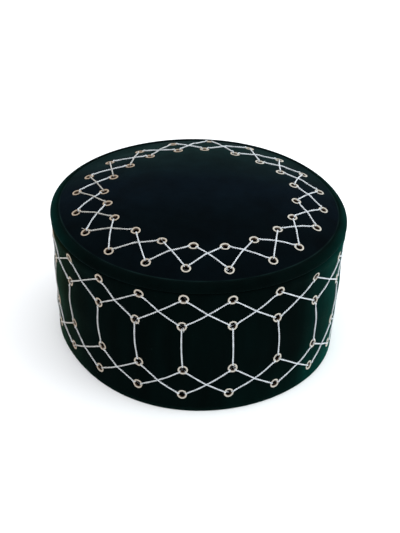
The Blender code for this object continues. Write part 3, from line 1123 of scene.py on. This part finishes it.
# Colour of the painted shade down the eyelets' holes
HOLE_SHADE_BROWN = (0.080, 0.040, 0.020, 1.0)


def spin(tree, shader, colours, vector, hollow_shade):
    """Fibres along a vector, with painted shade in the hollows, put on the shader; gives their colour.
    """
    fibres = add_node(tree, "ShaderNodeGroup", node_tree=fibre_group, inputs={
        "Light": colours[0], "Shaded": colours[1], "Side_shade_colour": colours[2], "Vector": vector,
        "Hollow_shade": hollow_shade, "Side_shade_share": read_attribute(tree, "painted_side_shade")})
    dress(tree, shader, fibres, FIBRE_BUMP, FIBRE_DEPTH)
    return fibres["Color"]


def silver_thread():
    """Cool white cord, its fibres drawn along the straightened ply."""
    material, tree, shader = new_material("silver_thread")
    spin(tree, shader, SILVER, read_attribute(tree, "straightened", "Vector"),
         read_attribute(tree, "shade_between_plies"))
    return material


def cream_thread():
    """Cream binding, with painted shade between its stitches and painted dark brown shade down the
    hole.
    """
    material, tree, shader = new_material("cream_thread")
    between = read_attribute(tree, "shade_between_stitches")
    between = calculate(tree, "MULTIPLY", between, STITCH_SHADE)
    colour = spin(tree, shader, CREAM, add_node(tree, "ShaderNodeTexCoord")["Object"], between)
    colour = mix_colours(tree, read_attribute(tree, "shade_down_the_hole"), colour, HOLE_SHADE_BROWN)
    tree.links.new(colour, shader["Base Color"])
    return material


def give_thread(piece, material, left, back=0.0):
    """Thread for a piece, with painted shade of 0.05 - left sin a at each point, and more at the back.
    """
    points = mesh_points(piece)
    angle = np.arctan2(points[:, 0], -points[:, 1])
    painted_side_shade = 0.05 - left * np.sin(angle) + back * np.clip(-np.cos(angle), 0.0, 1.0)
    store(piece, "painted_side_shade", np.clip(painted_side_shade, 0.0, 0.9))
    piece.data.materials.append(material)


silver = silver_thread()
cream = cream_thread()
for family, piece in cords.items():
    give_thread(piece, silver, LINE_FAMILIES[family][4])
give_thread(loose_ends, silver, SIDE_SHADE_LEFT)
for piece in (crown_rings, band_rings):
    give_thread(piece, cream, SIDE_SHADE_LEFT, SIDE_SHADE_BACK)
print("threads:", silver.name, cream.name)

# %% [markdown]
# ## Floor and light
#
# The cap stands on a plain white floor in a bright room. Velvet this dark shows little but its
# edges, so a large soft light stands high on the right, a weaker one on the left, and the sky
# fills the rest.

# %% Floor
FLOOR_HALF_SIDE = 4.0
FLOOR_TONES = ((0.92, 0.92, 0.92, 1.0), (0.95, 0.95, 0.95, 1.0))


def make_floor():
    """A plain square floor under the cap."""
    corners = FLOOR_HALF_SIDE * np.array([(-1, -1, 0), (1, -1, 0), (1, 1, 0), (-1, 1, 0)])
    floor = mesh_piece("floor", corners, np.array([[0, 1, 2, 3]]))
    material, tree, shader = new_material("floor_white")
    grain = add_node(tree, "ShaderNodeTexNoise", {
        "Vector": add_node(tree, "ShaderNodeTexCoord")["Object"], "Scale": 6.0, "Detail": 3.0})["Fac"]
    tree.links.new(mix_colours(tree, grain, *FLOOR_TONES), shader["Base Color"])
    shader["Roughness"].default_value = 0.9
    shader["Specular IOR Level"].default_value = 0.1
    floor.data.materials.append(material)
    return floor


floor = make_floor()
print("floor:", floor.dimensions[:2])

# %% Lights and sky
SKY_COLOUR = (0.95, 0.97, 1.0, 1.0)
SKY_STRENGTH = 1.36

# Soft light: (direction towards it, distance, side length, watts, colour)
LIGHTS = {
    "key_right": ((0.90, 0.05, 0.75), 1.8, 2.0, 17.0, (0.86, 1.0, 1.0)),
    "fill_left": ((-0.9, -0.3, 0.7), 1.8, 1.6, 3.0, (1.0, 0.97, 0.85)),
}


def make_light(name):
    """A square soft light that faces the cap."""
    direction, distance, side, watts, colour = LIGHTS[name]
    lamp = bpy.data.lights.new(name, "AREA")
    lamp.size = side
    lamp.energy = watts
    lamp.color = colour
    light = bpy.data.objects.new(name, lamp)
    away = Vector(direction).normalized()
    light.location = away * distance
    light.rotation_mode = "QUATERNION"
    light.rotation_quaternion = away.to_track_quat("Z", "Y")
    bpy.context.scene.collection.objects.link(light)
    return light


def make_sky():
    """An even pale sky."""
    world = bpy.data.worlds.new("sky")
    world.use_nodes = True
    background = world.node_tree.nodes["Background"]
    background.inputs["Color"].default_value = SKY_COLOUR
    background.inputs["Strength"].default_value = SKY_STRENGTH
    bpy.context.scene.world = world


for name in LIGHTS:
    make_light(name)
make_sky()
bpy.context.scene.view_settings.view_transform = "Standard"
print("lights:", list(LIGHTS))

# %% [markdown]
# ## Bodies
#
# A soft cap has no moving joint, so every piece rides on the one body. A table lists the finish
# from the record for each piece, but only the body is attached here, and the frame's two solids
# are hidden, as the two cloths take their place.

# %% Bodies and the frame's solids
SLOTS = {"crown_cloth": "crown_velvet", "band_cloth": "band_velvet"}
SLOTS |= {piece.name: "silver_thread" for piece in [*cords.values(), loose_ends]}
SLOTS |= {piece.name: "cream_thread" for piece in (crown_rings, band_rings)}
for name, slot in SLOTS.items():
    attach(bpy.data.objects[name], "root")
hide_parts("crown_top")
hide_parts("side_band")
